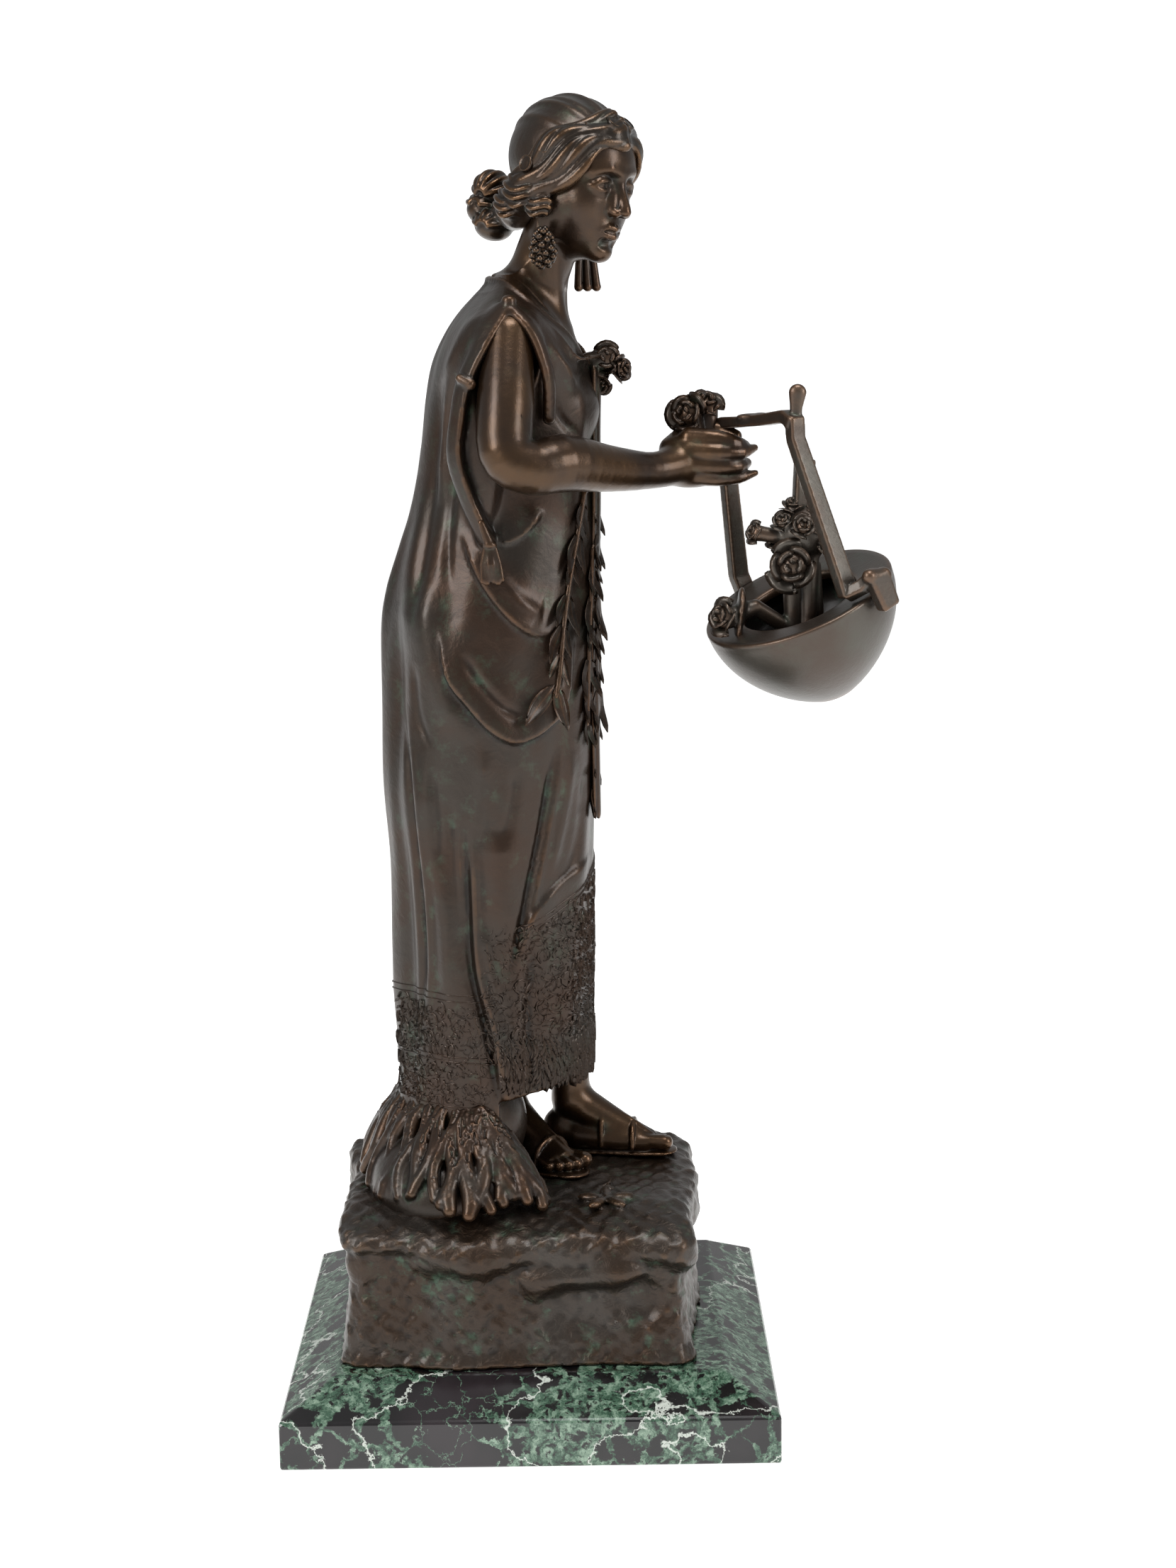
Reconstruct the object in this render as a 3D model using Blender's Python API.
"""A cast bronze woman who carries a flower basket, standing on a marble plinth.

Lengths are in millimetres and turned into metres when a mesh is made. X runs the way the woman
faces, Y runs to her left, Z is up, and the origin is the middle of the plinth's underside.
The casting, the roses and the leaves are modelled like clay: forms are added to a block and cut
from it as signed distances, smoothly joined, and the skin of the block becomes the mesh.
"""
import math

import bmesh
import bpy
import numpy as np
from mathutils import Matrix, Vector

MM = 0.001
FIT_GAP = 0.3

# Marble plinth
PLINTH_WIDTH = 170.0
PLINTH_DEPTH = 170.0
PLINTH_HEIGHT = 26.5
PLINTH_BAND_HEIGHT = 16.6
PLINTH_BEVEL_INSET = 18.2
PLINTH_EDGE_ROUND = 0.9

# Bronze casting, from the rock's underside to the crown of the head
FIGURE_HEIGHT = 430.2
ROCK_WIDTH = 125.0
ROCK_DEPTH = 106.0
ROCK_HEIGHT = 51.0

# Flower basket
BASKET_RADIUS = 33.6
BASKET_OPENING_RADIUS = 20.5
BASKET_DEPTH = 39.0
BASKET_WALL = 2.6
BASKET_FULLNESS = 1.95
BASKET_SIDE_LEAN = -21.7
BASKET_FRONT_LEAN = 13.4

# Handle of the basket
BAR_WIDTH = 5.0
BAR_THICKNESS = 3.8
HANDLE_RISE = 60.0
HANDLE_SHOULDER = 40.0
HANDLE_YAW = -57.0
FINIAL_LENGTH = 10.0
HANDLE_LEFT_TURN = 115.0
HANDLE_RIGHT_TURN = 302.0
HOOK_TURN = 314.0
HOOK_DROP = 11.0
# Where the hand grips the handle, and the basket's middle ahead of it and out from it
GRIP = (71.0, -5.0, 346.0)
BASKET_AHEAD = 25.0
BASKET_OUTWARD = 15.0

# Head: its middle in the figure's drawing, then its turn, bow and tilt in degrees
HEAD_CENTRE = (20.5, -2.0, 428.0)
HEAD_TURN = -38.0
HEAD_BOW = 8.0
HEAD_TILT = -4.0

# Leaves of the garland
LEAF_LENGTH = 14.0
LEAF_WIDTH = 4.6

# Roses
LARGE_ROSE_RADIUS = 10.0
SMALL_ROSE_RADIUS = 7.0
BUD_RADIUS = 5.2
STEM_RADIUS = 2.6

# The heights in the figure's own drawing, made at the size below
DRAWN_BASE = 26.8
DRAWN_HEIGHT = 430.2
CLAY_STEP = 1.5
ROSE_CLAY_STEP = 1.25
FIGURE_TRIANGLES = 7300
BASKET_ROSE_TRIANGLES = 1250


def clear_scene():
    for thing in list(bpy.data.objects):
        bpy.data.objects.remove(thing, do_unlink=True)


def finish(name, red_green_blue, roughness, metallic):
    """A plain material in linear colour."""
    material = bpy.data.materials.new(name)
    material.use_nodes = True
    shader = material.node_tree.nodes["Principled BSDF"]
    shader.inputs["Base Color"].default_value = (*red_green_blue, 1.0)
    shader.inputs["Roughness"].default_value = roughness
    shader.inputs["Metallic"].default_value = metallic
    material.diffuse_color = (*red_green_blue, 1.0)
    return material


def place(name, vertices_mm, faces, material, smooth=True):
    """A named object from vertices in millimetres."""
    mesh = bpy.data.meshes.new(name)
    mesh.from_pydata([tuple(float(value) * MM for value in point) for point in vertices_mm], [], faces)
    mesh.materials.append(material)
    if smooth:
        mesh.shade_smooth()
        mesh.set_sharp_from_angle(angle=math.radians(40))
    thing = bpy.data.objects.new(name, mesh)
    bpy.context.scene.collection.objects.link(thing)
    return thing


def evaluated_mesh(thing):
    return bpy.data.meshes.new_from_object(thing.evaluated_get(bpy.context.evaluated_depsgraph_get()))


def apply_modifiers(thing):
    mesh = evaluated_mesh(thing)
    thing.modifiers.clear()
    thing.data = mesh


# Shapes of the clay: each gives a signed distance for arrays of x, y, z and the box that it fills


def ball(centre, radii, turn=None):
    """An ellipsoid; turn is a rotation matrix for its own axes."""
    centre = np.array(centre, float)
    radii = np.array(radii, float) * np.ones(3)
    axes = np.eye(3) if turn is None else np.array(turn)
    reach = np.sqrt((axes ** 2) @ (radii ** 2))

    def distance(x, y, z):
        near = [axes[0, i] * (x - centre[0]) + axes[1, i] * (y - centre[1]) + axes[2, i] * (z - centre[2])
                for i in range(3)]
        first = np.sqrt(sum((near[i] / radii[i]) ** 2 for i in range(3)))
        second = np.sqrt(sum((near[i] / radii[i] ** 2) ** 2 for i in range(3))) + 1e-9
        return first * (first - 1.0) / second

    return distance, centre - reach, centre + reach


def limb(points, radii, flat=None):
    """A chain of round rods that taper; flat squeezes it as (axis, share)."""
    points = np.array(points, float)
    radii = np.array(radii, float) * np.ones(len(points))
    stretch = np.ones(3)
    if flat is not None:
        stretch[flat[0]] = 1.0 / flat[1]

    def distance(x, y, z):
        best = None
        for start, end, start_radius, end_radius in zip(points[:-1], points[1:], radii[:-1], radii[1:]):
            run = (end - start) * stretch
            offset = [(value - start[i]) * stretch[i] for i, value in enumerate((x, y, z))]
            share = sum(offset[i] * run[i] for i in range(3)) / max(float(run @ run), 1e-9)
            share = np.clip(share, 0.0, 1.0)
            gap = np.sqrt(sum((offset[i] - share * run[i]) ** 2 for i in range(3)))
            gap = gap - (start_radius + share * (end_radius - start_radius))
            best = gap if best is None else np.minimum(best, gap)
        return best / stretch.max()

    spread = radii.max()
    return distance, points.min(axis=0) - spread, points.max(axis=0) + spread


def smooth_path(points, count):
    """Points along a Catmull-Rom curve through the given points."""
    points = np.array(points, float)
    padded = np.vstack([2 * points[0] - points[1], points, 2 * points[-1] - points[-2]])
    result = []
    for place_on_curve in np.linspace(0, len(points) - 1 - 1e-9, count):
        index = int(place_on_curve)
        t = place_on_curve - index
        before, start, end, after = padded[index:index + 4]
        result.append(0.5 * (2 * start + (end - before) * t
                             + (2 * before - 5 * start + 4 * end - after) * t ** 2
                             + (3 * start - before - 3 * end + after) * t ** 3))
    return np.array(result)


def flooded(allowed, seed):
    """The grid points that a flood from the seed reaches along the allowed ones."""
    reached = np.zeros_like(allowed)
    reached[seed] = True
    count = 0
    while int(reached.sum()) != count:
        count = int(reached.sum())
        for axis in range(3):
            for _ in range(2):
                for line in range(1, allowed.shape[axis]):
                    now = [slice(None)] * 3
                    now[axis] = line
                    before = list(now)
                    before[axis] = line - 1
                    reached[tuple(now)] |= reached[tuple(before)] & allowed[tuple(now)]
                reached = np.flip(reached, axis)
                allowed = np.flip(allowed, axis)
    return reached


class Clay:
    """A block of clay on a grid: negative inside, positive outside."""

    def __init__(self, low, high, step):
        self.low = np.array(low, float)
        self.step = step
        counts = np.ceil((np.array(high, float) - self.low) / step).astype(int) + 1
        self.lines = [self.low[i] + step * np.arange(counts[i]) for i in range(3)]
        self.field = np.full(tuple(counts), 50.0, dtype=np.float32)

    def window(self, low, high, margin):
        cuts = []
        for i in range(3):
            first = int(np.searchsorted(self.lines[i], low[i] - margin))
            last = int(np.searchsorted(self.lines[i], high[i] + margin))
            cuts.append(slice(first, max(last, first)))
        grids = np.meshgrid(*[self.lines[i][cuts[i]] for i in range(3)], indexing="ij", sparse=True)
        return tuple(cuts), grids

    def add(self, shape, blend=0.0):
        distance, low, high = shape
        cuts, grids = self.window(low, high, blend + 2 * self.step)
        old = self.field[cuts]
        new = distance(*grids)
        if blend > 0:
            share = np.clip(0.5 + 0.5 * (old - new) / blend, 0, 1)
            self.field[cuts] = old * (1 - share) + new * share - blend * share * (1 - share)
        else:
            self.field[cuts] = np.minimum(old, new)

    def cut(self, shape, blend=0.0):
        distance, low, high = shape
        cuts, grids = self.window(low, high, blend + 2 * self.step)
        old = self.field[cuts]
        new = -distance(*grids)
        if blend > 0:
            share = np.clip(0.5 - 0.5 * (old - new) / blend, 0, 1)
            self.field[cuts] = old * (1 - share) + new * share + blend * share * (1 - share)
        else:
            self.field[cuts] = np.maximum(old, new)

    def close_doubtful_cells(self):
        """Fills grid points until no cell has two sheets of skin through it."""
        for _ in range(40):
            full = self.field < 0
            changed = 0
            for axis in range(3):
                a, b = [other for other in range(3) if other != axis]
                corner = {}
                for i in (0, 1):
                    for j in (0, 1):
                        cut = [slice(None)] * 3
                        cut[a] = slice(1, None) if i else slice(None, -1)
                        cut[b] = slice(1, None) if j else slice(None, -1)
                        corner[i, j] = tuple(cut)
                slanted = full[corner[0, 0]] & full[corner[1, 1]] & ~full[corner[0, 1]] & ~full[corner[1, 0]]
                crossed = ~full[corner[0, 0]] & ~full[corner[1, 1]] & full[corner[0, 1]] & full[corner[1, 0]]
                for mask, empties in ((slanted, ((0, 1), (1, 0))), (crossed, ((0, 0), (1, 1)))):
                    if mask.any():
                        for empty in empties:
                            self.field[corner[empty]][mask] = -0.05
                        changed += int(mask.sum())
                full = self.field < 0
            eight = [full[i:full.shape[0] - 1 + i, j:full.shape[1] - 1 + j, k:full.shape[2] - 1 + k]
                     for i in (0, 1) for j in (0, 1) for k in (0, 1)]
            total = sum(corner_full.astype(np.int8) for corner_full in eight)
            for first in range(4):
                pair = eight[first] & eight[7 - first] & (total == 2)
                pair |= ~eight[first] & ~eight[7 - first] & (total == 6)
                if pair.any():
                    for i, j, k in np.argwhere(pair):
                        self.field[i:i + 2, j:j + 2, k:k + 2] = np.minimum(
                            self.field[i:i + 2, j:j + 2, k:k + 2], -0.05)
                    changed += int(pair.sum())
            if not changed:
                break

    def keep_one_body(self):
        """Drops crumbs that do not touch the main body and fills hollows sealed inside it."""
        body = flooded(self.field < 0, np.unravel_index(np.argmin(self.field), self.field.shape))
        self.field[(self.field < 0) & ~body] = 0.05
        air = flooded(self.field >= 0, (0, 0, 0))
        self.field[(self.field >= 0) & ~air] = -0.05

    def skin(self):
        """The surface: one vertex in each crossed cell, one square over each crossed grid edge."""
        for axis in range(3):
            for end in (0, -1):
                border = [slice(None)] * 3
                border[axis] = end
                self.field[tuple(border)] = self.step
        self.close_doubtful_cells()
        self.keep_one_body()
        self.close_doubtful_cells()
        field = self.field
        full = field < 0
        counts = np.array(field.shape) - 1
        eight = [full[i:counts[0] + i, j:counts[1] + j, k:counts[2] + k]
                 for i in (0, 1) for j in (0, 1) for k in (0, 1)]
        total = sum(corner.astype(np.int8) for corner in eight)
        cells = np.argwhere((total > 0) & (total < 8))
        index = np.full(tuple(counts), -1, dtype=np.int64)
        index[tuple(cells.T)] = np.arange(len(cells))
        corners = np.array([(i, j, k) for i in (0, 1) for j in (0, 1) for k in (0, 1)])
        values = np.stack([field[tuple((cells + corner).T)] for corner in corners], axis=1)
        places = np.zeros((len(cells), 3))
        hits = np.zeros(len(cells))
        for first in range(8):
            for second in range(first + 1, 8):
                if np.abs(corners[first] - corners[second]).sum() != 1:
                    continue
                crossed = (values[:, first] < 0) != (values[:, second] < 0)
                share = values[:, first] / np.where(crossed, values[:, first] - values[:, second], 1.0)
                spot = corners[first] + share[:, None] * (corners[second] - corners[first])
                places[crossed] += spot[crossed]
                hits[crossed] += 1
        points = self.low + self.step * (cells + places / hits[:, None])
        faces = []
        for axis in range(3):
            a, b = [(1, 2), (2, 0), (0, 1)][axis]
            lower = [slice(None)] * 3
            upper = [slice(None)] * 3
            lower[axis] = slice(None, -1)
            upper[axis] = slice(1, None)
            crossed = full[tuple(lower)] != full[tuple(upper)]
            edges = np.argwhere(crossed)
            step_a = np.eye(3, dtype=int)[a]
            step_b = np.eye(3, dtype=int)[b]
            square = np.stack([index[tuple((edges - shift).T)] for shift in
                               (step_a * 0, step_a, step_a + step_b, step_b)], axis=1)
            starts_full = full[tuple(edges.T)]
            square[~starts_full] = square[~starts_full][:, ::-1]
            faces.append(square)
        return points, np.vstack(faces)


# The dress: a wall around an upright axis, drawn by its cross-sections, with folds raised on it

# Height, back, front, half width and squareness of each cross-section
DRESS_SECTIONS = (
    (96, -50.0, 20.0, 33.0, 2.2),
    (108, -47.0, 21.5, 33.5, 2.2),
    (120, -46.1, 22.5, 34.0, 2.2),
    (140, -46.1, 23.0, 34.0, 2.2),
    (163, -46.0, 23.8, 33.5, 2.2),
    (192, -46.8, 24.1, 34.0, 2.2),
    (220, -48.4, 25.0, 35.5, 2.2),
    (248, -47.6, 26.5, 37.0, 2.1),
    (276, -47.2, 27.0, 36.5, 2.1),
    (290, -45.1, 27.0, 35.0, 2.1),
    (306, -40.4, 27.2, 33.0, 2.1),
    (320, -36.2, 27.4, 31.5, 2.1),
    (342, -32.9, 28.0, 32.0, 2.1),
    (356, -31.0, 27.5, 34.0, 2.1),
    (368, -28.5, 25.0, 37.5, 2.2),
    (378, -24.0, 20.0, 39.0, 2.2),
    (386, -18.5, 13.0, 33.0, 2.0),
    (394, -11.0, 7.0, 20.0, 2.0),
    (400, -7.0, 4.0, 12.0, 2.0),
)
DRESS_ANGLES = 240
DRESS_LEVELS = 310

# Folds seen from the woman's right, as paths of (x, z), half width, height and kind
RIGHT_FOLDS = (
    (((-27, 279), (-24, 264), (-17, 253), (-9, 244), (1, 241), (9, 245), (15, 255), (19, 275)),
     2.2, 2.6, "ledge"),
    (((-18, 311), (-13, 297), (-5, 285), (3, 278), (10, 277)), 2.4, 2.0, "ledge"),
    (((-22, 268), (-15, 256), (-8, 249)), 2.0, 1.0, "ridge"),
    (((-30, 292), (-29, 272), (-26, 258)), 4.0, 1.8, "ridge"),
    (((-42, 252), (-38, 220), (-36, 188), (-37, 160)), 2.6, -2.6, "ridge"),
    (((-32, 240), (-31, 205), (-27, 181), (-26, 157)), 4.0, 1.6, "ridge"),
    (((-20, 215), (-20, 181), (-19, 157), (-13, 133), (-9, 108)), 2.6, -3.4, "ridge"),
    (((11, 240), (7, 212), (1, 187), (-3, 165)), 2.6, -2.4, "ridge"),
    (((14, 238), (11, 212), (6, 190)), 3.0, 1.4, "ridge"),
    (((5, 200), (3, 170), (3, 140), (3, 112)), 3.2, -4.0, "ridge"),
    (((-8, 206), (-9, 176), (-5, 150)), 7.0, 1.8, "ridge"),
    (((-30, 330), (-36, 300), (-38, 270)), 4.0, 1.2, "ridge"),
    (((-24, 360), (-27, 330), (-31, 300)), 2.4, -1.2, "ridge"),
    (((-13, 384), (-19, 366), (-22, 340)), 2.4, 1.0, "ridge"),
)
# Plainer folds on her left, and down the back
LEFT_FOLDS = (
    (((-34, 290), (-26, 262), (-12, 246), (4, 243), (16, 258), (20, 280)), 2.4, 2.4, "ledge"),
    (((-30, 330), (-36, 290), (-38, 250), (-36, 200), (-36, 140)), 4.0, 1.8, "ridge"),
    (((-20, 240), (-22, 200), (-22, 150), (-24, 110)), 3.0, -2.6, "ridge"),
    (((-6, 236), (-6, 190), (-8, 140), (-6, 106)), 5.0, 2.0, "ridge"),
    (((8, 236), (6, 190), (4, 150), (4, 112)), 3.0, -2.6, "ridge"),
    (((-16, 320), (-10, 300), (2, 290), (16, 292)), 2.4, 1.4, "ledge"),
)
# Upright folds down the back, as (y, upper z, lower z, half width, height)
BACK_FOLDS = (
    (-17, 300, 100, 4.0, -2.0),
    (-5, 340, 100, 4.5, 1.8),
    (7, 290, 100, 3.4, -1.8),
    (18, 320, 100, 4.0, 1.5),
)


def section_values(heights):
    """Back, front, half width and squareness at the given heights, on a smooth curve."""
    table = np.array(DRESS_SECTIONS)
    curve = smooth_path(table, 12 * len(table))
    return [np.interp(heights, curve[:, 0], curve[:, column]) for column in range(1, 5)]


def path_distance(across, along, points):
    """Distance from a path, on which side of it, and how far along it, from 0 to 1."""
    curve = smooth_path([(a, b) for a, b in points], 6 * len(points))
    lengths = np.concatenate([[0], np.cumsum(np.hypot(*np.diff(curve, axis=0).T))])
    best = np.full(across.shape, 1e6)
    side = np.zeros(across.shape)
    travel = np.zeros(across.shape)
    for start, end, start_length, end_length in zip(curve[:-1], curve[1:], lengths[:-1], lengths[1:]):
        run = end - start
        share = ((across - start[0]) * run[0] + (along - start[1]) * run[1]) / (run @ run)
        share = np.clip(share, 0, 1)
        from_a = across - start[0] - share * run[0]
        from_b = along - start[1] - share * run[1]
        gap = np.hypot(from_a, from_b)
        nearer = gap < best
        best = np.where(nearer, gap, best)
        side = np.where(nearer, np.sign(run[0] * from_b - run[1] * from_a), side)
        travel = np.where(nearer, start_length + share * (end_length - start_length), travel)
    return best, side, travel / lengths[-1]


def fold_height(across, along, fold):
    """How far a fold lifts the cloth: a ridge or groove, or a ledge that drops below its path."""
    points, half_width, height, kind = fold
    gap, side, travel = path_distance(across, along, points)
    taper = np.clip(np.minimum(travel, 1 - travel) * 5, 0, 1)
    if kind == "ledge":
        inner = np.exp(-(gap / (4.5 * half_width)) ** 2)
        outer = np.exp(-(gap / (0.45 * half_width)) ** 2)
        return height * taper * np.where(side > 0, inner, outer)
    return height * taper * np.exp(-(gap / half_width) ** 2)


def dress_table():
    """Radius of the dress at each angle and height, with its middle at each height."""
    heights = np.linspace(DRESS_SECTIONS[0][0], DRESS_SECTIONS[-1][0], DRESS_LEVELS)
    angles = np.linspace(-math.pi, math.pi, DRESS_ANGLES + 1)
    back, front, half_width, power = section_values(heights)
    middle = (back + front) / 2
    half_length = (front - back) / 2
    cosine = np.abs(np.cos(angles))[:, None]
    sine = np.abs(np.sin(angles))[:, None]
    radius = ((cosine / half_length) ** power + (sine / half_width) ** power) ** (-1 / power)
    x = middle + radius * np.cos(angles)[:, None]
    y = radius * np.sin(angles)[:, None]
    z = np.broadcast_to(heights, x.shape)
    lift = np.zeros_like(x)
    right = np.clip(-np.sin(angles) * 4, 0, 1)[:, None]
    left = np.clip(np.sin(angles) * 4, 0, 1)[:, None]
    behind = np.clip(-np.cos(angles) * 3 - 1.2, 0, 1)[:, None]
    for fold in RIGHT_FOLDS:
        lift += right * fold_height(x, z, fold)
    for fold in LEFT_FOLDS:
        lift += left * fold_height(x, z, fold)
    for fold_y, top, bottom, half_width_y, height in BACK_FOLDS:
        path = ((fold_y, top), (fold_y * 1.1, bottom))
        lift += behind * fold_height(y, z, (path, half_width_y, height, "ridge"))
    return angles, heights, middle, radius + lift


def dress():
    """The dress from its hem to the neckline, as one shape of clay."""
    angles, heights, middle, radius = dress_table()
    step_angle = angles[1] - angles[0]
    step_height = heights[1] - heights[0]

    def distance(x, y, z):
        level = np.clip((z - heights[0]) / step_height, 0, len(heights) - 1.001) + 0 * x + 0 * y
        centre = np.interp(z, heights, middle)
        turn = (np.arctan2(y + 0 * z, x - centre) + math.pi) / step_angle
        turn = np.clip(turn, 0, len(angles) - 1.001)
        i = turn.astype(int)
        j = level.astype(int)
        u = turn - i
        v = level - j
        wall = (radius[i, j] * (1 - u) * (1 - v) + radius[i + 1, j] * u * (1 - v)
                + radius[i, j + 1] * (1 - u) * v + radius[i + 1, j + 1] * u * v)
        out = (np.hypot(x - centre, y) - wall) * 0.85
        return np.maximum(out, np.maximum(z - heights[-1], heights[0] - z))

    reach = float(radius.max()) + 4
    low = (middle.min() - reach, -reach, heights[0])
    high = (middle.max() + reach, reach, heights[-1])
    return distance, np.array(low), np.array(high)


def rock():
    """A slab with an uneven lip over slightly hollow sides."""
    base = DRAWN_BASE
    top = DRAWN_BASE + ROCK_HEIGHT

    def distance(x, y, z):
        turn = np.arctan2(y, x)
        wave = 1.3 * np.sin(3 * turn + 0.6) + 0.9 * np.sin(7 * turn + 2.0) + 0.6 * np.sin(12 * turn)
        lip = top - 15 + 2.5 * np.sin(2 * turn + 0.4) + 2.2 * np.sin(5 * turn + 1.3)
        under = 1 / (1 + np.exp((z - lip) * 1.1))
        hollow = under * (3.4 - 2.6 * np.clip((lip - z) / 32, 0, 1) ** 2)
        foot = 1.4 * np.clip(1 - (z - base) / 5, 0, 1)
        across = np.abs(x + 3.5) - (ROCK_WIDTH / 2 + wave - hollow + foot - 9)
        deep = np.abs(y + 9.5) - (ROCK_DEPTH / 2 + wave - hollow + foot - 9)
        outline = np.hypot(np.maximum(across, 0), np.maximum(deep, 0)) - 9
        outline = outline + np.minimum(np.maximum(across, deep), 0)
        droop = 7 * np.clip((-y - 34) / 30, 0, 1) ** 2 + 3 * np.clip((x - 44) / 18, 0, 1) ** 2
        cover = top - droop + 0.8 * np.sin(x / 9) * np.cos(y / 11)
        upper = z - cover
        blend = 5.0
        share = np.clip(0.5 + 0.5 * (upper - outline) / blend, 0, 1)
        body = outline * (1 - share) + upper * share + blend * share * (1 - share)
        return np.maximum(body, base - z)

    reach = (ROCK_WIDTH / 2 + 8, ROCK_DEPTH / 2 + 8)
    low = (-reach[0] - 3.5, -reach[1] - 9.5, base)
    high = (reach[0] - 3.5, reach[1] - 9.5, top + 3)
    return distance, np.array(low), np.array(high)


def leaf(base, tip, width, outward):
    """A pointed leaf lying between two points, flat against what is behind it."""
    base = np.array(base, float)
    tip = np.array(tip, float)
    run = tip - base
    length = np.linalg.norm(run)
    along = run / length
    outward = np.array(outward, float)
    outward = outward - along * (outward @ along)
    outward = outward / np.linalg.norm(outward)
    turn = np.stack([along, outward, np.cross(along, outward)], axis=1)
    return ball((base + tip) / 2, (length / 2 + 0.6, 1.5, width / 2), turn)


def rose_shapes(centre, axis, radius):
    """An open rose: a core, three inner petals and five broad outer ones."""
    centre = np.array(centre, float)
    axis = np.array(axis, float) / np.linalg.norm(axis)
    side = np.cross(axis, (0.31, 0.2, 0.93))
    side = side / np.linalg.norm(side)
    other = np.cross(axis, side)
    shapes = [ball(centre - axis * 0.15 * radius, (0.62 * radius,) * 3)]
    for count, ring, lift, breadth, thickness in ((5, 0.62, -0.1, 0.5, 0.24), (3, 0.3, 0.42, 0.34, 0.2)):
        for index in range(count):
            angle = 2 * math.pi * (index + 0.3 * ring) / count
            outward = side * math.cos(angle) + other * math.sin(angle)
            tangent = np.cross(axis, outward)
            lean = outward * 0.55 + axis * 0.83
            lean = lean / np.linalg.norm(lean)
            turn = np.stack([tangent, np.cross(lean, tangent), lean], axis=1)
            spot = centre + outward * ring * radius + axis * lift * radius
            shapes.append(ball(spot, (breadth * radius, thickness * radius, 0.46 * radius), turn))
    return shapes


# Head, drawn in its own axes: forward, to her left, up, and then turned and bowed


def head_axes():
    turn = Matrix.Rotation(math.radians(HEAD_TURN), 3, "Z")
    bow = Matrix.Rotation(math.radians(HEAD_BOW), 3, "Y")
    tilt = Matrix.Rotation(math.radians(HEAD_TILT), 3, "X")
    return np.array(turn @ bow @ tilt)


def add_head(clay):
    axes = head_axes()

    def spot(point):
        return np.array(HEAD_CENTRE) + axes @ np.array(point, float)

    def lump(point, radii, blend):
        clay.add(ball(spot(point), radii, axes), blend)

    def roll(points, radii, blend):
        clay.add(limb([spot(point) for point in points], radii), blend)

    lump((-1, 0, 5), (22.5, 18.5, 21), 3)
    lump((7.5, 0, -6), (13, 13.5, 19), 4)
    lump((8, 0, -16), (11, 10.5, 8), 4)
    lump((15.3, 0, -21.5), (4.5, 5, 4.2), 3)
    lump((10, 0, 8), (11.5, 13, 12), 4)
    for side in (-1, 1):
        lump((13.5, side * 8, -6), (6, 5, 6), 4)
        clay.cut(ball(spot((21.5, side * 7, 1.2)), (3.6, 4.4, 3), axes), 2.5)
        lump((16.6, side * 6.9, 0.6), (3.8, 3.8, 3.4), 0.6)
        roll([(20.3, side * 2.2, 5), (19.3, side * 7, 6.2), (15, side * 11.5, 4.6)], 1.3, 2)
        lump((21.4, side * 2.3, -5.8), (1.9, 1.7, 1.7), 1)
        roll([(17, side * 1.5, 18), (14.5, side * 9, 15), (8.5, side * 14.5, 9), (1.5, side * 17, 2),
              (-6, side * 17, -5)], [4, 4.6, 5, 5.4, 6.2], 1.5)
        for shift in (-3.2, 0.2, 3.4):
            strand = smooth_path([(18.8, side * 1.5, 18.5), (16.8, side * 10.5, 15), (10.4, side * 17, 9),
                                  (2, side * 20.4, 2), (-6.5, side * 20.6, -5), (-12, side * 16.5, -10)], 14)
            wave = 1.3 * np.sin(np.arange(14) * 1.3 + shift)
            roll(strand + np.stack([shift * 0.3 + 0 * wave, 0 * wave, shift + wave], axis=1), 2.2, 0.8)
        roll([(-6, side * 17, -8), (-12, side * 12.5, -12), (-18, side * 6, -13)], [7, 7, 7], 2)
    roll([(20, 0, 4), (23.8, 0, -5.3)], [1.8, 2.5], 1.6)
    roll([(19.3, -4, -12.6), (21.4, 0, -11.8), (19.3, 4, -12.6)], 1.3, 1)
    roll([(19, -3.2, -14.8), (20.8, 0, -15), (19, 3.2, -14.8)], 1.4, 1)
    lump((17.5, -3.5, 18.5), (4.6, 5.6, 3.8), 1)
    for top, bottom in (((10, -19, 414), (10, -20, 406)), ((25, 15, 414), (23, 12.5, 397))):
        clay.add(limb([top, bottom], 1.6), 0.8)
        clay.add(ball(bottom, (3.2, 3.2, 5.8)), 0.6)
    lump((-3.5, 0, 8.5), (21.5, 19.8, 20.4), 1)
    for angle in (-65, -25, 20, 60):
        tilt = math.radians(angle)
        crease = []
        for degrees in (0, -25, -50, -75):
            turn = math.radians(degrees)
            crease.append((22 * math.sin(turn) - 3.5, 19.8 * math.cos(turn) * math.sin(tilt),
                           8.5 + 20.6 * math.cos(turn) * math.cos(tilt)))
        roll(crease, 1.7, 1.5)
    lump((-36.5, 2, -6.5), (6.6, 7.2, 6.4), 1)
    lump((-38, 1, -13.5), (6.6, 7.2, 5.6), 1)
    lump((-31.5, -1, -18.5), (7.5, 7, 5.4), 1.5)
    lump((-24, 0, -12), (8, 8, 8), 2)


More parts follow.
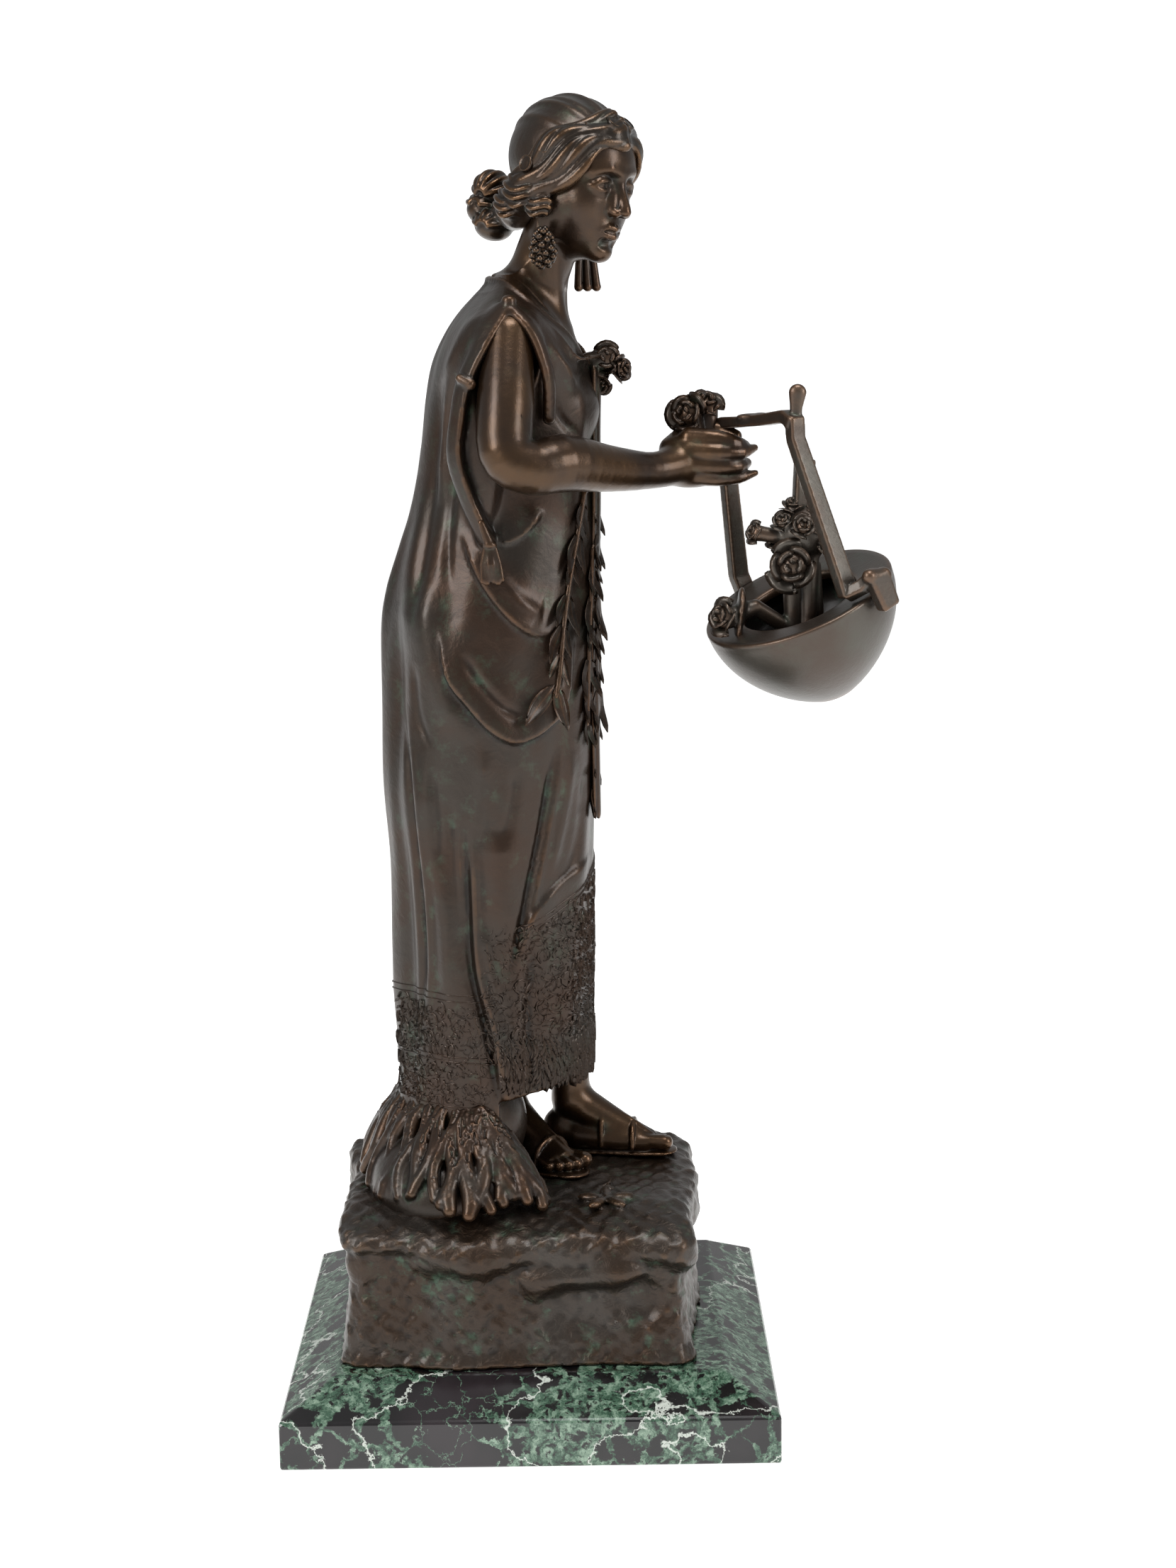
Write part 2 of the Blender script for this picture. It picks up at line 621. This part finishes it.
def add_right_arm(clay):
    arm = smooth_path([(-2, -34, 377), (-3, -42, 357), (-3, -48, 340), (5, -48, 334.5),
                       (16, -42, 335.5), (31, -31, 332.8), (45, -21, 331.3), (55, -15, 331.3)], 22)
    radii = np.interp(np.linspace(0, 7, 22), range(8), [8.6, 9.6, 9.3, 9, 9.8, 7.8, 6.2, 5.8])
    clay.add(limb(arm, radii), 1.2)
    clay.add(ball((62.5, -13, 334.5), (11.5, 4.8, 9.6)), 3)
    knuckles = ((341, 340, 339.5, 3.0), (336.8, 335.6, 334.6, 3.1), (332.2, 331, 330.6, 2.9),
                (328.2, 327.2, 328.4, 2.6))
    for knuckle, joint, tip, thick in knuckles:
        finger = [(66, -15.5, knuckle), (74.5, -15.2, joint), (79, -12, (joint + tip) / 2), (78, -6.5, tip)]
        clay.add(limb(finger, [thick, thick * 0.92, thick * 0.85, thick * 0.7]), 0.5)
    clay.add(limb([(76, -14, 339.4), (81, -12, 339.6)], [2.3, 1.4]), 0.5)
    clay.add(limb([(76, -14.5, 328), (81, -13, 329.3)], [2.1, 1.3]), 0.5)
    thumb = [(57, -11, 338), (63, -3.5, 342.5), (71, -1.5, 341), (77, -3, 338)]
    clay.add(limb(thumb, [4.2, 3.6, 3.1, 2.5]), 1.5)


def add_left_arm(clay):
    arm = smooth_path([(-2, 33, 377), (-6, 42, 355), (-8, 45, 334), (-2, 45, 316), (6, 43, 300),
                       (9, 41, 290)], 18)
    radii = np.interp(np.linspace(0, 5, 18), range(6), [8.8, 9.2, 8.6, 8.2, 6.4, 5.4])
    clay.add(limb(arm, radii), 1.5)
    clay.add(ball((11, 40, 282), (6.6, 4.6, 9)), 2)
    for index, (x, length) in enumerate(((5.5, 12), (9, 15), (12.5, 14.5), (15.8, 12))):
        clay.add(limb([(x, 41.5, 277), (x + 0.5, 40.5, 277 - length * 0.55), (x + 0.5, 37.5, 277 - length)],
                      [2.7, 2.5, 1.9]), 0.5)
    clay.add(limb([(15, 39, 288), (19.5, 38, 280), (20, 36.5, 272)], [3, 2.7, 2.1]), 1)


def add_foot(clay, ankle, toe, side):
    """One foot from the shin down; side is 1 where the big toe is on her left of that foot."""
    ankle = np.array(ankle, float)
    toe = np.array(toe, float)
    ground = DRAWN_BASE + ROCK_HEIGHT
    along = (toe - ankle) * (1, 1, 0)
    length = np.linalg.norm(along)
    along = along / length
    across = np.array((-along[1], along[0], 0))

    def spot(forward, sideways, up):
        return (ankle * (1, 1, 0)) + along * forward + across * sideways + np.array((0, 0, ground + up))

    clay.add(limb([spot(-2, 0, 42), spot(0, 0, 28), spot(0, 0, 18)], [9, 7.6, 7.4]), 2)
    clay.add(ball(spot(-4, 0, 8), (8, 6.8, 8)), 2)
    share = length / 40
    clay.add(limb([spot(-1, 0, 12), spot(11 * share, 0, 11), spot(25 * share, side * 0.5, 7.5),
                   spot(34 * share, side, 5.2)], [7.6, 7.6, 6.2, 4.2]), 3)
    toes = ((40, 4.6, 3), (40, 4.2, 2.3), (38.5, 4, 2.2), (36.5, 3.8, 2.1), (34, 3.6, 2))
    for index, (forward, up, thick) in enumerate(toes):
        sideways = side * (5.4 - 3 * index)
        clay.add(limb([spot((forward - 9) * share, sideways * 0.85, up + 1),
                       spot(forward * share, sideways, up - 0.6)], [thick, thick * 0.85]), 0.6)
    clay.add(limb([spot(-6, 0, 1.6), spot(12 * share, 0, 1.6), spot(30 * share, side * 0.5, 1.6),
                   spot(37 * share, side, 1.6)], [7, 6.8, 8.4, 6.8], (2, 0.22)), 0.4)


def add_train(clay):
    """The train's long fringe, spread over the rock in wavy locks."""
    ground = DRAWN_BASE + ROCK_HEIGHT
    heap_centre = np.array((-34.0, -9.0))
    heap_radii = np.array((29.0, 34.0))
    heap_height = 29.0
    clay.add(ball((*heap_centre, ground), (*heap_radii, heap_height)), 6)
    middle = np.array((-27.0, -12.0))
    count = 30
    for index in range(count):
        angle = math.radians(66 + (318 - 66) * index / (count - 1))
        reach = 32 + 9 * max(0, -math.sin(angle)) ** 1.5 + 1.5 * math.sin(5 * index)
        outward = np.array((math.cos(angle), math.sin(angle)))
        sideways = np.array((-outward[1], outward[0]))
        points = []
        for share in np.linspace(0, 1, 8):
            bend = 1.4 * math.sin(share * 7 + index * 1.9)
            ring = middle + outward * (14 + (reach - 14) * share) + sideways * bend
            inside = 1 - float(np.sum(((ring - heap_centre) / heap_radii) ** 2))
            points.append((*ring, ground + max(2.4, 0.8 + heap_height * math.sqrt(max(0, inside)))))
        clay.add(limb(points, np.linspace(2.0, 3.3, 8)), 0.6)


def add_garland(clay):
    """Rose at the breast, the ribbon below it and the sprays of leaves over the front of the dress."""
    clay.add(limb([(27, -8, 373), (28.5, -9, 345), (28, -9, 318), (27, -9, 268), (26, -9, 211)],
                  [3, 2, 2.4, 2.2, 1.6]), 1)
    for shape in rose_shapes((32.5, -9, 368), (0.6, -0.7, 0.4), 6.4):
        clay.add(shape, 0.5)
    angles, heights, middle, radius = dress_table()

    def on_dress(angle, height):
        column = int(round((angle + math.pi) / (angles[1] - angles[0])))
        row = int(np.clip(np.searchsorted(heights, height), 0, len(heights) - 1))
        outward = np.array((math.cos(angle), math.sin(angle), 0.0))
        wall = radius[column, row]
        return np.array((middle[row], 0, height)) + outward * wall, outward

    sprays = ((-0.55, 320, -0.95, 262, 7, -0.8), (-0.2, 320, -0.28, 226, 9, -0.1))
    for top_angle, top, bottom_angle, bottom, count, swing in sprays:
        for index in range(count):
            share = index / (count - 1)
            angle = top_angle + (bottom_angle - top_angle) * share
            height = top + (bottom - top) * share
            for side in (-1, 1):
                start, outward = on_dress(angle + side * 0.03, height)
                end, _ = on_dress(angle + side * 0.12 + swing * 0.28, height - LEAF_LENGTH * 0.85)
                clay.add(leaf(start + outward * 1.6, end + outward * 2.0, LEAF_WIDTH, outward), 0.4)


def add_sleeves(clay):
    """Clasped shoulders, the open edges of the sleeves and the tassel under the right elbow."""
    for side in (-1, 1):
        clay.add(ball((-3, side * 31, 376), (13, 10.5, 11)), 4)
        clay.add(ball((-12, side * 33, 348), (8, 6.5, 34)), 4)
        back = smooth_path([(-2, side * 38, 385), (-9, side * 43, 374), (-16, side * 43, 362),
                            (-17.5, side * 42, 346), (-17, side * 41, 330), (-12, side * 40, 316),
                            (-5, side * 37, 311), (6, side * 33, 318)], 24)
        clay.add(limb(back, 2.0), 1)
        front = smooth_path([(-1, side * 38, 386), (6, side * 40, 378), (10, side * 38, 364),
                             (10, side * 35, 350)], 12)
        clay.add(limb(front, 1.8), 1)
        neckline = smooth_path([(26, side * 6, 371), (20, side * 15, 375), (12, side * 22, 383),
                                (4, side * 24, 391), (-4, side * 18, 395), (-8, side * 9, 397),
                                (-9, 0, 397)], 20)
        clay.add(limb(neckline, 1.3), 1.2)
        clay.add(ball((-1.5, side * 36, 388), (2.4, 2.4, 2)), 0.5)
        clay.add(ball((17, side * 12, 352), (10.5, 11, 11)), 5)
    clay.add(limb([(-11, -38, 314), (-9, -38.5, 309)], [2.6, 2.2]), 1)
    for offset in (-2.2, 0, 2.2):
        clay.add(limb([(-9, -38.5, 311), (-8.5 + offset, -38.5, 301)], [1.5, 1.9]), 0.4)


def add_hem(clay):
    """Cuts the front of the skirt off at its hem, hollow beneath, so the feet and ankles show."""
    def below_hem(x, y, z):
        edge = 110.5 + (x + 3) * 0.16
        return np.maximum(z - edge + 0 * y, -10 - x + 0 * y)

    clay.cut((below_hem, np.array((-10, -50, 77)), np.array((34, 50, 118))), 0.6)
    clay.cut(ball((9, 3, 108), (12, 24, 9)), 1)


def add_rock_sprig(clay):
    """A small fallen sprig of five pointed leaves on the rock."""
    ground = DRAWN_BASE + ROCK_HEIGHT
    centre = np.array((27.0, -38.0, ground + 0.6))
    for index in range(5):
        angle = math.radians(20 + 72 * index)
        tip = centre + np.array((9 * math.cos(angle), 9 * math.sin(angle), -0.4))
        clay.add(leaf(centre + (tip - centre) * 0.15, tip, 4.0, (0, 0, 1)), 0.4)


def add_hand_roses(clay):
    """Two roses held in the right hand beside the handle, cast with the hand."""
    roses = (((59.5, -9, 351), (-0.2, -0.95, 0.3), 8.0), ((66.5, -5, 354), (0.3, -0.5, 0.8), 6.8))
    for centre, axis, radius in roses:
        for shape in rose_shapes(centre, axis, radius):
            clay.add(shape, 0.5)
    clay.add(limb([(61, -8, 346), (64, -9, 338)], [3.4, 3]), 1)


def figure_clay():
    clay = Clay((-74, -70, DRAWN_BASE - 3), (88, 66, DRAWN_BASE + DRAWN_HEIGHT + 4), CLAY_STEP)
    clay.add(dress())
    add_sleeves(clay)
    clay.add(limb([(3, 0, 384), (8, 0, 396), (14, -1.5, 411)], [13, 10.6, 10.2]), 5)
    add_head(clay)
    add_garland(clay)
    add_hem(clay)
    add_train(clay)
    add_foot(clay, (12, 22, 0), (51, 19, 0), -1)
    add_foot(clay, (-13, 17, 0), (9, 3, 0), 1)
    add_right_arm(clay)
    add_left_arm(clay)
    add_hand_roses(clay)
    clay.add(rock(), 1.0)
    add_rock_sprig(clay)
    return clay


def to_world(points):
    """From the figure's drawing to its place on the plinth."""
    share = FIGURE_HEIGHT / DRAWN_HEIGHT
    points = (np.array(points, float) - (0, 0, DRAWN_BASE)) * share
    return points + (0, 0, PLINTH_HEIGHT + FIT_GAP)


def thin_out(thing, triangles):
    """Fewer, larger triangles over the same form."""
    thing.data.calc_loop_triangles()
    share = triangles / len(thing.data.loop_triangles)
    modifier = thing.modifiers.new("fewer faces", "DECIMATE")
    modifier.ratio = min(1.0, share)
    modifier.use_collapse_triangulate = True
    apply_modifiers(thing)


def cut_out(thing, cutter):
    modifier = thing.modifiers.new("clearance", "BOOLEAN")
    modifier.operation = "DIFFERENCE"
    modifier.solver = "EXACT"
    modifier.object = cutter
    apply_modifiers(thing)


def join_to(thing, other):
    modifier = thing.modifiers.new("joined", "BOOLEAN")
    modifier.operation = "UNION"
    modifier.solver = "EXACT"
    modifier.object = other
    apply_modifiers(thing)
    bpy.data.objects.remove(other)


# Basket: a turned bowl with its rim folded in flat

def basket_axes():
    side_lean = Matrix.Rotation(math.radians(BASKET_SIDE_LEAN), 3, "Y")
    front_lean = Matrix.Rotation(math.radians(BASKET_FRONT_LEAN), 3, "X")
    return np.array(side_lean @ front_lean)


def basket_centre():
    grip = to_world([GRIP])[0]
    return grip + (BASKET_AHEAD, -BASKET_OUTWARD, -HANDLE_RISE)


def on_basket(radius, degrees, height):
    """A point by its distance from the basket's axis, its turn and its height over the rim."""
    angle = math.radians(degrees)
    offset = np.array((radius * math.cos(angle), radius * math.sin(angle), height))
    return basket_centre() + basket_axes() @ offset


def basket_profile(grow):
    """Radius and height from the bottom outside, over the rim, to the bottom inside."""
    outline = []
    steps = 9
    for index in range(steps):
        share = 1 - (index / (steps - 1)) ** 0.8
        radius = BASKET_RADIUS * (1 - share ** BASKET_FULLNESS) ** 0.76 + (grow if index else 0)
        outline.append((radius, -(BASKET_DEPTH + grow) * share))
    outline.append((BASKET_RADIUS + grow, 1.2 + grow))
    outline.append((BASKET_RADIUS - 1.6, 1.6 + grow))
    outline.append((BASKET_OPENING_RADIUS - grow, 0.4 + grow))
    outline.append((BASKET_OPENING_RADIUS - grow, -BASKET_WALL - grow))
    for share in (0.18, 0.4, 0.65, 0.85):
        inner = (BASKET_RADIUS - BASKET_WALL) * (1 - share ** BASKET_FULLNESS) ** 0.76 - grow
        outline.append((inner, -(BASKET_DEPTH - BASKET_WALL) * share))
    outline.append((0.0, -(BASKET_DEPTH - BASKET_WALL) + grow))
    return outline


def turned(name, profile, segments, material):
    """A closed solid turned round the basket's axis; the profile starts and ends on the axis."""
    points = []
    faces = []
    rings = []
    for radius, height in profile:
        if radius < 0.01:
            rings.append([len(points)])
            points.append(on_basket(0, 0, height))
            continue
        rings.append(list(range(len(points), len(points) + segments)))
        points.extend(on_basket(radius, 360 * index / segments, height) for index in range(segments))
    for lower, upper in zip(rings[:-1], rings[1:]):
        for index in range(segments):
            after = (index + 1) % segments
            if len(lower) == 1:
                faces.append((lower[0], upper[after], upper[index]))
            elif len(upper) == 1:
                faces.append((lower[index], lower[after], upper[0]))
            else:
                faces.append((lower[index], lower[after], upper[after], upper[index]))
    return place(name, points, faces, material)


# Handle: squared bars bent and joined

def square_sides(levels):
    """The side faces of a stack of squares, four corners to a level."""
    faces = []
    for level in range(levels - 1):
        low = 4 * level
        for corner in range(4):
            after = (corner + 1) % 4
            faces.append((low + corner, low + after, low + 4 + after, low + 4 + corner))
    return faces


def bar(name, points, widths, thicknesses, side, material):
    """A squared bar along a path, mitred at its bends; side is the direction of its width."""
    points = [Vector(point) for point in points]
    side = Vector(side).normalized()
    corners = []
    for index, point in enumerate(points):
        before = (point - points[max(index - 1, 0)]).normalized()
        after = (points[min(index + 1, len(points) - 1)] - point).normalized()
        along = (before + after).normalized()
        across = side - along * side.dot(along)
        across.normalize()
        depth = along.cross(across).normalized()
        bend = max(0.5, along.dot(after if after.length else before))
        for first, second in ((-1, -1), (1, -1), (1, 1), (-1, 1)):
            corners.append(point + across * (first * widths[index] / 2)
                           + depth * (second * thicknesses[index] / 2 / bend))
    faces = [(3, 2, 1, 0), tuple(range(len(corners) - 4, len(corners)))]
    faces.extend(square_sides(len(points)))
    thing = place(name, corners, faces, material, smooth=False)
    mesh = bmesh.new()
    mesh.from_mesh(thing.data)
    bmesh.ops.recalc_face_normals(mesh, faces=mesh.faces)
    mesh.to_mesh(thing.data)
    mesh.free()
    return thing


def handle(name, grow, material):
    """The bail, grown by a clearance where it is used to cut its seat in the hand."""
    heading = math.radians(HANDLE_YAW)
    forward = np.array((math.cos(heading), math.sin(heading), 0.0))
    sideways = np.array((-forward[1], forward[0], 0.0))
    grip = to_world([GRIP])[0]
    bend = grip + forward * HANDLE_SHOULDER + (0, 0, 3.5)
    thick = BAR_THICKNESS + 2 * grow
    wide = BAR_WIDTH + 2 * grow
    outside = BASKET_RADIUS + FIT_GAP + BAR_THICKNESS / 2
    left_foot = on_basket(outside + 0.6, HANDLE_LEFT_TURN, -6)
    near_rim = on_basket(outside + 0.8, HANDLE_LEFT_TURN, 5)
    first = bar(name, [left_foot, near_rim, grip, bend - forward * 3 + (0, 0, -0.4), bend + forward * 0.5],
                [wide] * 5, [thick] * 5, sideways, material)
    lift = 1.6 + FIT_GAP + BAR_THICKNESS / 2
    finial_base = bend + (0, 0, -1.0)
    leg = [finial_base + (1.5, 1.0, FINIAL_LENGTH + 2), finial_base + (1.2, 0.8, FINIAL_LENGTH),
           finial_base + (0.8, 0.5, 4.0), bend + (0, 0, -6),
           on_basket(BASKET_RADIUS * 0.8, HANDLE_RIGHT_TURN, lift + 2.4),
           on_basket(BASKET_RADIUS * 0.87, HANDLE_RIGHT_TURN + 3, lift + 0.5),
           on_basket(outside + 1.6, HOOK_TURN, lift + 4.6),
           on_basket(outside + 1.8, HOOK_TURN, lift + 4.6 - HOOK_DROP)]
    second = bar("right leg", leg, [wide * share for share in (0.6, 0.95, 1, 1, 1, 1, 1.6, 1.6)],
                 [thick * share for share in (0.6, 0.9, 1, 1, 1, 1, 1.4, 1.3)], sideways, material)
    join_to(first, second)
    return first


def plinth(material):
    """A square slab: an upright band, then a bevel up to a smaller top."""
    half_width = PLINTH_WIDTH / 2
    half_depth = PLINTH_DEPTH / 2
    levels = ((0, 0), (0, PLINTH_BAND_HEIGHT), (PLINTH_BEVEL_INSET, PLINTH_HEIGHT))
    points = []
    for inset, height in levels:
        for x, y in ((-1, -1), (1, -1), (1, 1), (-1, 1)):
            points.append((x * (half_width - inset), y * (half_depth - inset), height))
    faces = [(3, 2, 1, 0), (8, 9, 10, 11)]
    faces.extend(square_sides(len(levels)))
    thing = place("marble_plinth", points, faces, material, smooth=False)
    modifier = thing.modifiers.new("eased edges", "BEVEL")
    modifier.width = PLINTH_EDGE_ROUND * MM
    modifier.segments = 2
    modifier.limit_method = "ANGLE"
    modifier.angle_limit = math.radians(20)
    return thing


def basket_roses_clay():
    """The bunch in the basket, from the stems' feet at the bottom of the bowl to the tall bud."""
    centre = basket_centre()
    clay = Clay(centre + (-44, -36, -44), centre + (28, 26, 56), ROSE_CLAY_STEP)
    floor = on_basket(0, 0, BASKET_WALL + STEM_RADIUS * 1.3 - BASKET_DEPTH)
    heart = centre + (0, -1, 14)
    stems = (((-2, 0, 0), (-2.5, -1, 8), STEM_RADIUS * 1.25), ((3, -1, 1), (4, -1, 14), STEM_RADIUS),
             ((1, 3, 1), (2, 3, 22), STEM_RADIUS))
    for offset, top, thick in stems:
        clay.add(limb([floor + offset, centre + (offset[0], offset[1], -8), centre + top], thick), 1)
    for shape in rose_shapes(heart + (-3.5, -6, -2), (-0.15, -0.98, 0.1), LARGE_ROSE_RADIUS):
        clay.add(shape, 0.5)
    clay.add(ball(heart + (2, 2, 9), (9.5, 8, 10)), 2)
    buds = ((-6, -3, 14), (1, -6, 13), (7, -3, 13), (-2, 1, 19), (6, 2, 18), (10, 1, 9), (-8, 2, 8),
            (2, 6, 14))
    for offset in buds:
        clay.add(ball(heart + offset, (BUD_RADIUS, BUD_RADIUS, BUD_RADIUS * 1.1)), 0.6)
    clay.add(limb([heart + (1, 2, 20), heart + (2, 2, 31)], [3.4, 3.4]), 0.6)
    clay.add(limb([heart + (-6, 0, 8), heart + (-14, 0, 9.5)], [2.6, 2.6]), 1)
    clay.add(ball(heart + (-15.5, 0, 10), (4.6, 4.6, 5)), 0.8)
    for offset in ((2.5, 0), (5, 2)):
        upper = heart + (offset[0], offset[1], -2)
        clay.add(limb([upper, upper + (1, 0, -16)], STEM_RADIUS), 0.6)
    left_rose = on_basket(BASKET_RADIUS * 0.78, 196, LARGE_ROSE_RADIUS * 0.72)
    for shape in rose_shapes(left_rose, (-0.55, -0.75, 0.35), SMALL_ROSE_RADIUS * 1.15):
        clay.add(shape, 0.5)
    clay.add(limb([left_rose, on_basket(BASKET_OPENING_RADIUS - 5, 196, 5.5), on_basket(6, 196, -9)],
                  [3.2, 2.8, STEM_RADIUS]), 1)
    return clay


def clay_object(name, points, faces, material, triangles):
    thing = place(name, points, [tuple(int(i) for i in face) for face in faces], material, smooth=False)
    thin_out(thing, triangles)
    return thing


def shade(thing):
    thing.data.shade_smooth()
    thing.data.set_sharp_from_angle(angle=math.radians(50))


def build():
    clear_scene()
    bronze = finish("dark patinated bronze", (0.09, 0.066, 0.05), 0.42, 1.0)
    green_bronze = finish("grey green bronze", (0.085, 0.08, 0.066), 0.55, 1.0)
    marble = finish("green breccia marble", (0.03, 0.07, 0.045), 0.18, 0.0)
    plinth(marble)
    turned("flower_basket", basket_profile(0.0), 36, green_bronze)
    bail = handle("basket_handle", 0.0, green_bronze)
    basket_seat = turned("basket clearance", basket_profile(FIT_GAP), 36, green_bronze)
    bail_seat = handle("handle clearance", FIT_GAP, green_bronze)
    points, faces = figure_clay().skin()
    figure = clay_object("bronze_figure", to_world(points), faces, bronze, FIGURE_TRIANGLES)
    cut_out(bail, basket_seat)
    cut_out(figure, bail_seat)
    points, faces = basket_roses_clay().skin()
    roses = clay_object("basket_roses", points, faces, green_bronze, BASKET_ROSE_TRIANGLES)
    cut_out(roses, basket_seat)
    cut_out(roses, bail_seat)
    bpy.data.objects.remove(basket_seat)
    bpy.data.objects.remove(bail_seat)
    for thing in (figure, roses):
        shade(thing)


build()
